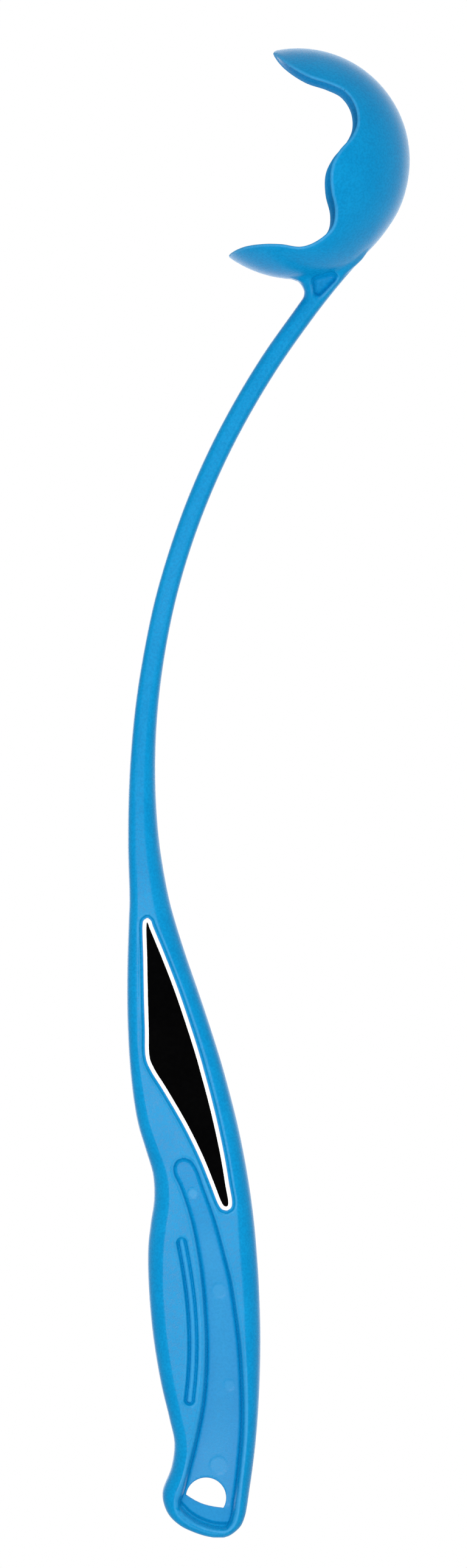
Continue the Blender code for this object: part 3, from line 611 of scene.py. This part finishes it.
def near_cells(field, lines):
    """Cells that the surface may pass, found from coarse blocks down to single cells.

    Inside, the field can be up to twice the distance to the surface.
    """
    size = BLOCK
    counts = [-(-(len(line) - 1) // size) for line in lines]
    cells = np.stack(np.meshgrid(*map(np.arange, counts), indexing="ij"), -1).reshape(-1, 3)
    halves = np.stack(np.meshgrid([0, 1], [0, 1], [0, 1], indexing="ij"), -1).reshape(-1, 3)
    while True:
        low = np.stack([line[np.minimum(cells[:, a] * size, len(line) - 1)]
                        for a, line in enumerate(lines)], 1)
        high = np.stack([line[np.minimum((cells[:, a] + 1) * size, len(line) - 1)]
                         for a, line in enumerate(lines)], 1)
        reach = np.linalg.norm(high - low, axis=1) / 2
        real = (high > low).all(1)
        cells, low, high, reach = cells[real], low[real], high[real], reach[real]
        value = field((low + high) / 2)
        value = np.where(value < 0, -value / INSIDE_EXCESS, value)
        cells = cells[value < reach * SEARCH_SHARE + SEARCH_MARGIN]
        if size == 1:
            return cells
        cells = (cells[:, None] * 2 + halves).reshape(-1, 3)
        size //= 2


def surface_net(field, lines):
    """Points and quads on the zero surface of a field that is alike on both sides of y = 0.

    The nudge keeps faces that lie on a line of the grid off exactly zero.
    """
    cells = near_cells(field, lines)
    shape = [len(line) for line in lines]
    nodes = np.zeros(shape, bool)
    for corner in np.stack(np.meshgrid([0, 1], [0, 1], [0, 1], indexing="ij"), -1).reshape(-1, 3):
        nodes[tuple((cells + corner).T)] = True
    places = np.argwhere(nodes)
    values = np.full(shape, np.nan)
    corners = np.stack([line[places[:, a]] for a, line in enumerate(lines)], 1)
    values[tuple(places.T)] = field(corners) + NUDGE
    rings, spots, flips = [], [], []
    for axis in range(3):
        step = np.zeros(3, int)
        step[axis] = 1
        near = values[tuple(slice(0, -1) if a == axis else slice(None) for a in range(3))]
        far = values[tuple(slice(1, None) if a == axis else slice(None) for a in range(3))]
        with np.errstate(invalid="ignore"):
            place = np.argwhere(near * far < 0)
        if axis != 1:
            place = place[place[:, 1] >= 1]
        a, b = values[tuple(place.T)], values[tuple((place + step).T)]
        spot = np.stack([line[place[:, i]] for i, line in enumerate(lines)], 1)
        line = lines[axis]
        spot[:, axis] += (line[place[:, axis] + 1] - line[place[:, axis]]) * a / (a - b)
        others = [o for o in range(3) if o != axis]
        ring = []
        for du, dv in ((-1, -1), (0, -1), (0, 0), (-1, 0)):
            cell = place.copy()
            cell[:, others[0]] += du
            cell[:, others[1]] += dv
            ring.append(np.ravel_multi_index(cell.T, shape))
        rings.append(np.stack(ring, 1))
        spots.append(spot)
        flips.append((a < 0) != (axis == 1))
    rings, spots, flips = np.vstack(rings), np.vstack(spots), np.concatenate(flips)
    used, faces = np.unique(rings, return_inverse=True)
    faces = faces.reshape(rings.shape)
    hits = np.bincount(faces.ravel(), minlength=len(used))
    points = np.stack([np.bincount(faces.ravel(), np.repeat(spots[:, a], 4), len(used)) / hits
                       for a in range(3)], 1)
    middle = np.unravel_index(used, shape)[1] == 0
    faces = np.where(flips[:, None], faces, faces[:, ::-1])
    return points, faces[~middle[faces].all(1)], middle


def build_moulding():
    """Points, quads and normals of the whole moulding, from its half on one side of y = 0."""
    lines = [ruler(runs) for runs in (GRID_X, GRID_Y, GRID_Z)]
    points, faces, middle = surface_net(moulding, lines)
    points[middle, 1] = 0.0
    for _ in range(SETTLE_PASSES):
        slope = gradient(moulding, points)
        push = slope * (moulding(points) / np.maximum((slope ** 2).sum(1), LEAST_SLOPE))[:, None]
        length = np.linalg.norm(push, axis=1)[:, None]
        points -= push * np.minimum(1, SETTLE_STEP / np.maximum(length, 1e-9))
        points[middle, 1] = 0.0
    normals = gradient(moulding, points)
    normals[middle, 1] = 0.0
    normals /= np.maximum(np.linalg.norm(normals, axis=1), 1e-9)[:, None]
    bend = bending(moulding, points)
    mirror = np.arange(len(points))
    twin = ~middle
    mirror[twin] = len(points) + np.arange(twin.sum())
    points = np.vstack([points, points[twin] * (1, -1, 1)])
    normals = np.vstack([normals, normals[twin] * (1, -1, 1)])
    bend = np.concatenate([bend, bend[twin]])
    faces = np.vstack([faces, mirror[faces][:, ::-1]])
    return points, faces, normals, bend


def press_ejector_marks(points, normals):
    """Sink the round ejector marks into the front channel's floor.

    Gives each point's share of the paler colour: a painted sheen on the channels' floors where
    they face straight out, and the marks' own paler finish.
    """
    polish_and_sheen = np.zeros(len(points))
    down = GRIP_HALF - np.abs(points[:, 1])
    close = (down > EJECTOR_MARK_BELOW) & CHANNEL.near(points[:, [0, 2]], 0.0)
    inset = CHANNEL.inside(points[close][:, [0, 2]])
    # Painted sheen: the channels' floors are paler where they face straight out and lie deep
    # inside the outline
    polish_and_sheen[close] = CHANNEL_SHEEN * ease(inset, *SHEEN_INSET)
    level = ease(np.abs(normals[close, 1]), *SHEEN_LEVEL)
    polish_and_sheen[close] *= level * ease(down[close], *SHEEN_DEPTH)
    floor = (points[:, 1] < 0) & (normals[:, 1] < -EJECTOR_MARK_LEVEL) & close
    for across, up, size in EJECTOR_MARK_SHARES:
        centre = on_grip((across, up))
        radius = size * HANG_HOLE_RADIUS
        away = points[:, [0, 2]] - centre
        far = np.linalg.norm(away, axis=1)
        use = floor & (far < radius + EJECTOR_MARK_EDGE)
        band = np.clip((far[use] - radius) / EJECTOR_MARK_EDGE + 0.5, 0, 1)
        disc = 1 - band * band * (3 - 2 * band)
        # The ejector marks' own paler finish
        polish_and_sheen[use] = np.maximum(polish_and_sheen[use], disc)
        points[use, 1] += EJECTOR_MARK_DEPTH * disc
        fall = -6 * band * (1 - band) / EJECTOR_MARK_EDGE * EJECTOR_MARK_DEPTH
        normals[np.ix_(np.nonzero(use)[0], [0, 2])] += (away / far[:, None])[use] * fall[:, None]
    normals /= np.linalg.norm(normals, axis=1)[:, None]
    return polish_and_sheen


def shading_marks(points, bend, polish_and_sheen):
    """Values at the points for the material: painted highlight on edges, painted shade in fillets,
    painted sheen on the channels' floors with the marks' own paler finish, and the cut rim.

    A bend of 1 / BEND_SHARE per millimetre counts in full.
    """
    rim = 1 - ease(np.abs(MOUTH.inside(points[:, [0, 2]])), *RIM_BAND)
    # Painted highlight on convex edges, stronger where they bend sharply
    edge = np.clip(bend * BEND_SHARE, 0, 1)
    # Painted shade in concave fillets
    fillet = np.clip(-bend * BEND_SHARE, 0, 1)
    return {"edge": edge, "fillet": fillet, "polish_and_sheen": polish_and_sheen, "rim": rim}


def add_mesh(name, points, faces, normals, marks, material):
    """A mesh object from quads, with its own normals and named values at its points."""
    data = bpy.data.meshes.new(name)
    data.vertices.add(len(points))
    data.vertices.foreach_set("co", points.astype(np.float32).ravel())
    data.loops.add(faces.size)
    data.loops.foreach_set("vertex_index", faces.astype(np.int32).ravel())
    data.polygons.add(len(faces))
    data.polygons.foreach_set("loop_start", np.arange(0, faces.size, 4, dtype=np.int32))
    data.update(calc_edges=True)
    data.shade_smooth()
    data.normals_split_custom_set_from_vertices(normals.tolist())
    for mark, values in marks.items():
        attribute = data.attributes.new(mark, "FLOAT", "POINT")
        attribute.data.foreach_set("value", values.astype(np.float32))
    made = bpy.data.objects.new(name, data)
    bpy.context.scene.collection.objects.link(made)
    data.materials.append(material)
    return made


def unit(vectors):
    return vectors / np.linalg.norm(vectors, axis=1)[:, None]


def inset_loop(points, distance):
    """A closed outline with each point moved inward."""
    before = points - np.roll(points, 1, axis=0)
    after = np.roll(points, -1, axis=0) - points
    along = unit(unit(before) + unit(after))
    return points + np.stack([-along[:, 1], along[:, 0]], 1) * distance


def cap_faces(heights):
    """Triangles across an outline that runs down on its left side and up on its right side."""
    count = len(heights)
    top = int(np.argmax(heights))
    left, right = (top + 1) % count, (top - 1) % count
    faces = [(top, left, right)]
    while (left + 1) % count != right:
        below_left, below_right = (left + 1) % count, (right - 1) % count
        if heights[below_left] > heights[below_right]:
            faces.append((left, below_left, right))
            left = below_left
        else:
            faces.append((left, below_right, right))
            right = below_right
    return faces


def label_sheet(name, side, layer, material, node):
    """A thin sheet with the label's outline and a rounded upper edge."""
    inset, under, upper, edge = layer
    low, high = GRIP_HALF - under, GRIP_HALF - upper
    outline = loop(on_grip(LABEL_LEFT_SHARES), on_grip(LABEL_RIGHT_SHARES), LABEL_STEPS)
    keep = np.linalg.norm(np.roll(outline, -1, axis=0) - outline, axis=1) > 1e-6
    outline = outline[keep]
    if inset > 0:
        moved = inset_loop(outline, inset)
        keep = LABEL.inside(moved) > inset - INSET_SLACK
        outline = moved[keep]
    profile = [(0.0, low, 0.0)]
    profile += [(edge * inward, high - edge * down, up) for inward, down, up in EDGE_PROFILE]
    count = len(outline)
    outward = outline - inset_loop(outline, 1.0)
    points, normals = [], []
    for inward, height, up in profile:
        flat = (1 - up * up) ** 0.5
        points += [(x, side * height, z) for x, z in outline - outward * inward]
        normals += [(x * flat, side * up, z * flat) for x, z in outward]
    cap = cap_faces(outline[:, 1])
    faces = [face[::-1] for face in cap]
    for row in range(len(profile) - 1):
        for index in range(count):
            after = (index + 1) % count
            faces.append((row * count + index, row * count + after,
                          (row + 1) * count + after, (row + 1) * count + index))
    last = (len(profile) - 1) * count
    faces += [tuple(last + index for index in face) for face in cap]
    if side > 0:
        faces = [face[::-1] for face in faces]
    data = bpy.data.meshes.new(name)
    data.from_pydata(points, [], faces)
    data.shade_smooth()
    data.normals_split_custom_set_from_vertices(normals)
    data.materials.append(material)
    made = bpy.data.objects.new(name, data)
    bpy.context.scene.collection.objects.link(made)
    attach(made, "root")
    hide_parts(node)


# Sockets of a Mix node that mixes colours
MIX_FACTOR, MIX_FIRST, MIX_SECOND, MIX_RESULT = 0, 6, 7, 2


class Nodes:
    """Short calls for a material's node tree.

    The plain roughness also stands where a viewer can't read the nodes that lead to it.
    """

    def __init__(self, name, roughness, specular):
        self.material = bpy.data.materials.new(name)
        self.material.use_nodes = True
        self.tree = self.material.node_tree
        self.shader = self.tree.nodes["Principled BSDF"]
        self.shader.inputs["Roughness"].default_value = roughness
        self.shader.inputs["Specular IOR Level"].default_value = specular

    def add(self, kind, **settings):
        node = self.tree.nodes.new(kind)
        for key, value in settings.items():
            setattr(node, key, value)
        return node

    def link(self, start, end):
        self.tree.links.new(start, end)

    def noise(self, scale, detail=2.0, roughness=0.5):
        coordinates = self.add("ShaderNodeTexCoord")
        node = self.add("ShaderNodeTexNoise")
        node.inputs["Scale"].default_value = scale
        node.inputs["Detail"].default_value = detail
        node.inputs["Roughness"].default_value = roughness
        self.link(coordinates.outputs["Object"], node.inputs["Vector"])
        return node.outputs["Fac"]

    def span(self, value, low, high, to_low, to_high):
        """A number moved from one range to another, and held to the ends."""
        node = self.add("ShaderNodeMapRange")
        node.inputs["From Min"].default_value = low
        node.inputs["From Max"].default_value = high
        node.inputs["To Min"].default_value = to_low
        node.inputs["To Max"].default_value = to_high
        self.link(value, node.inputs["Value"])
        return node.outputs["Result"]

    def mark(self, name, low, high, to_low, to_high):
        """One of the mesh's own values at its points, moved to another range."""
        node = self.add("ShaderNodeAttribute", attribute_name=name)
        return self.span(node.outputs["Fac"], low, high, to_low, to_high)

    def toward(self, factor, first, second):
        """A number that goes from a socket's value to a plain one."""
        node = self.add("ShaderNodeMapRange")
        node.inputs["To Max"].default_value = second
        self.link(first, node.inputs["To Min"])
        self.link(factor, node.inputs["Value"])
        return node.outputs["Result"]

    def blend(self, factor, first, second):
        """A colour between two, each from a socket or a plain one."""
        node = self.add("ShaderNodeMix", data_type="RGBA")
        for socket, value in ((MIX_FIRST, first), (MIX_SECOND, second)):
            if isinstance(value, tuple):
                node.inputs[socket].default_value = (*value, 1.0)
            else:
                self.link(value, node.inputs[socket])
        self.link(factor, node.inputs[MIX_FACTOR])
        return node.outputs[MIX_RESULT]

    def bump(self, height, strength, distance):
        node = self.add("ShaderNodeBump")
        node.inputs["Strength"].default_value = strength
        node.inputs["Distance"].default_value = distance
        self.link(height, node.inputs["Height"])
        self.link(node.outputs["Normal"], self.shader.inputs["Normal"])


def moulded_blue():
    """Satin polypropylene with a fine spark-eroded grain and slight flow mottling, painted
    highlights on its edges, painted shade in its fillets and a painted sheen on its channels'
    floors.
    """
    made = Nodes("moulded_blue", 0.28, 0.07)
    mottle = made.span(made.noise(90.0, 3.0), 0.35, 0.65, 0.0, 1.0)
    grain = made.span(made.noise(1300.0, 2.0, 0.6), 0.35, 0.65, 0.0, 1.0)
    crests = made.blend(mottle, *BLUE_CRESTS)
    hollows = made.blend(mottle, *BLUE_HOLLOWS)
    colour = made.blend(grain, hollows, crests)
    # Painted highlight along convex edges
    colour = made.blend(made.mark("edge", 0.25, 1.0, 0.0, 0.55), colour, BLUE_EDGE_HIGHLIGHT)
    # Painted shade in concave fillets
    colour = made.blend(made.mark("fillet", 0.0, 1.0, 0.0, 0.1), colour, BLUE_FILLET_SHADE)
    # Painted sheen on the channels' floors, and the ejector marks' own paler finish
    colour = made.blend(made.mark("polish_and_sheen", 0.0, 1.0, 0.0, 0.65), colour, BLUE_SHEEN_AND_MARKS)
    made.link(colour, made.shader.inputs["Base Color"])
    satin = made.span(grain, 0.0, 1.0, 0.24, 0.32)
    roughness = made.toward(made.mark("rim", 0.0, 1.0, 0.0, 1.0), satin, 0.65)
    made.link(roughness, made.shader.inputs["Roughness"])
    made.bump(made.noise(2600.0, 2.0, 0.6), 0.5, 0.00005)
    return made.material


def label_white():
    """Glossy white vinyl film."""
    made = Nodes("label_white", 0.22, 0.25)
    fleck = made.span(made.noise(240.0, 2.0), 0.3, 0.7, 0.0, 1.0)
    made.link(made.blend(fleck, *FILM_WHITES), made.shader.inputs["Base Color"])
    made.bump(made.noise(500.0, 1.0), 0.06, 0.00004)
    return made.material


def label_black():
    """Black print under a thin clear laminate."""
    made = Nodes("label_black", 0.42, 0.005)
    fleck = made.span(made.noise(700.0, 3.0), 0.4, 0.7, 0.0, 1.0)
    made.link(made.blend(fleck, *PRINT_BLACKS), made.shader.inputs["Base Color"])
    made.link(made.span(made.noise(60.0), 0.3, 0.7, 0.38, 0.46), made.shader.inputs["Roughness"])
    made.bump(made.noise(400.0, 1.0), 0.05, 0.00004)
    return made.material


points, faces, normals, bend = build_moulding()
polish_and_sheen = press_ejector_marks(points, normals)
marks = shading_marks(points, bend, polish_and_sheen)
body = add_mesh("moulded_body", points, faces, normals, marks, moulded_blue())
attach(body, "root")
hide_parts("thrower_body")

white, black = label_white(), label_black()
for side, face in ((-1, "front"), (1, "back")):
    label_sheet(face + "_vinyl", side, VINYL, white, face + "_label_film")
    label_sheet(face + "_panel", side, PANEL, black, face + "_label_print")

# Camera: it sees FRAME_HEIGHT at the target through a long lens, on Blender's own sensor
TARGET = Vector((0.00878, 0.0, 0.16666))
FRAME_HEIGHT = 0.48131
LENS, SENSOR = 420.0, 36.0
TURN = radians(-1.3)
DISTANCE = FRAME_HEIGHT * LENS / SENSOR
camera = bpy.data.objects.new("camera", bpy.data.cameras.new("camera"))
bpy.context.scene.collection.objects.link(camera)
camera.data.lens = LENS
camera.data.clip_end = 50.0
camera.location = TARGET + Vector((sin(TURN), -cos(TURN), 0.0)) * DISTANCE
camera.rotation_euler = (TARGET - camera.location).to_track_quat("-Z", "Y").to_euler()
bpy.context.scene.camera = camera


def when_seen(tree, off, on):
    """A number that is off for light, and on where the camera, gloss or glass looks."""
    path = tree.nodes.new("ShaderNodeLightPath")
    seen = path.outputs["Is Camera Ray"]
    for ray in ("Is Glossy Ray", "Is Transmission Ray"):
        either = tree.nodes.new("ShaderNodeMath")
        either.operation = "MAXIMUM"
        tree.links.new(seen, either.inputs[0])
        tree.links.new(path.outputs[ray], either.inputs[1])
        seen = either.outputs["Value"]
    pick = tree.nodes.new("ShaderNodeMapRange")
    pick.inputs["To Min"].default_value = off
    pick.inputs["To Max"].default_value = on
    tree.links.new(seen, pick.inputs["Value"])
    return pick.outputs["Result"]


# Light that the world gives, and the white that the camera and gloss see there
WORLD_LIGHT, WHITE = 0.61, 1.0
# Name, place, width and radiance of each soft light
SOFTBOXES = [
    ("front_softbox", (-0.05, -1.1, 0.04), 0.2, 46.0),
    ("high_softbox", (0.05, -0.8, 1.1), 0.5, 2.4),
    ("low_softbox", (-0.3, -0.9, -0.5), 0.7, 2.0),
    ("back_softbox", (0.1, 1.5, 0.2), 2.4, 0.65),
]
FLOOR_RADIUS, FLOOR_HEIGHT, FLOOR_SIDES = 0.9, -0.115, 96
FLOOR_GLOW = 0.2

world = bpy.data.worlds.new("studio")
bpy.context.scene.world = world
world.use_nodes = True
ground = world.node_tree.nodes["Background"]
ground.inputs["Color"].default_value = (1.0, 1.0, 1.0, 1.0)
world.node_tree.links.new(when_seen(world.node_tree, WORLD_LIGHT, WHITE),
                          ground.inputs["Strength"])


def softbox(name, place, width, radiance):
    """A round soft light that faces the object. Its power is radiance times pi times area."""
    light = bpy.data.lights.new(name, "AREA")
    light.shape = "DISK"
    light.size = width
    light.energy = radiance * pi * pi * width * width / 4
    made = bpy.data.objects.new(name, light)
    bpy.context.scene.collection.objects.link(made)
    made.location = place
    made.rotation_euler = (TARGET - made.location).to_track_quat("-Z", "Y").to_euler()
    made.visible_camera = False


for name, place, width, radiance in SOFTBOXES:
    softbox(name, Vector(place), width, radiance)

# A pale floor that looks nearly white, and keeps the object's shadow
disc = bpy.data.meshes.new("floor")
turns = [2 * pi * side / FLOOR_SIDES for side in range(FLOOR_SIDES)]
ring = [(FLOOR_RADIUS * cos(turn), FLOOR_RADIUS * sin(turn), FLOOR_HEIGHT) for turn in turns]
disc.from_pydata(ring, [], [tuple(range(FLOOR_SIDES))])
pale = bpy.data.materials.new("pale_floor")
pale.use_nodes = True
paint = pale.node_tree.nodes["Principled BSDF"].inputs
paint["Base Color"].default_value = (0.9, 0.9, 0.9, 1.0)
paint["Roughness"].default_value = 0.8
paint["Emission Color"].default_value = (1.0, 1.0, 1.0, 1.0)
pale.node_tree.links.new(when_seen(pale.node_tree, 0.0, FLOOR_GLOW), paint["Emission Strength"])
disc.materials.append(pale)
floor = bpy.data.objects.new("floor", disc)
bpy.context.scene.collection.objects.link(floor)

bpy.context.scene.view_settings.view_transform = "Standard"
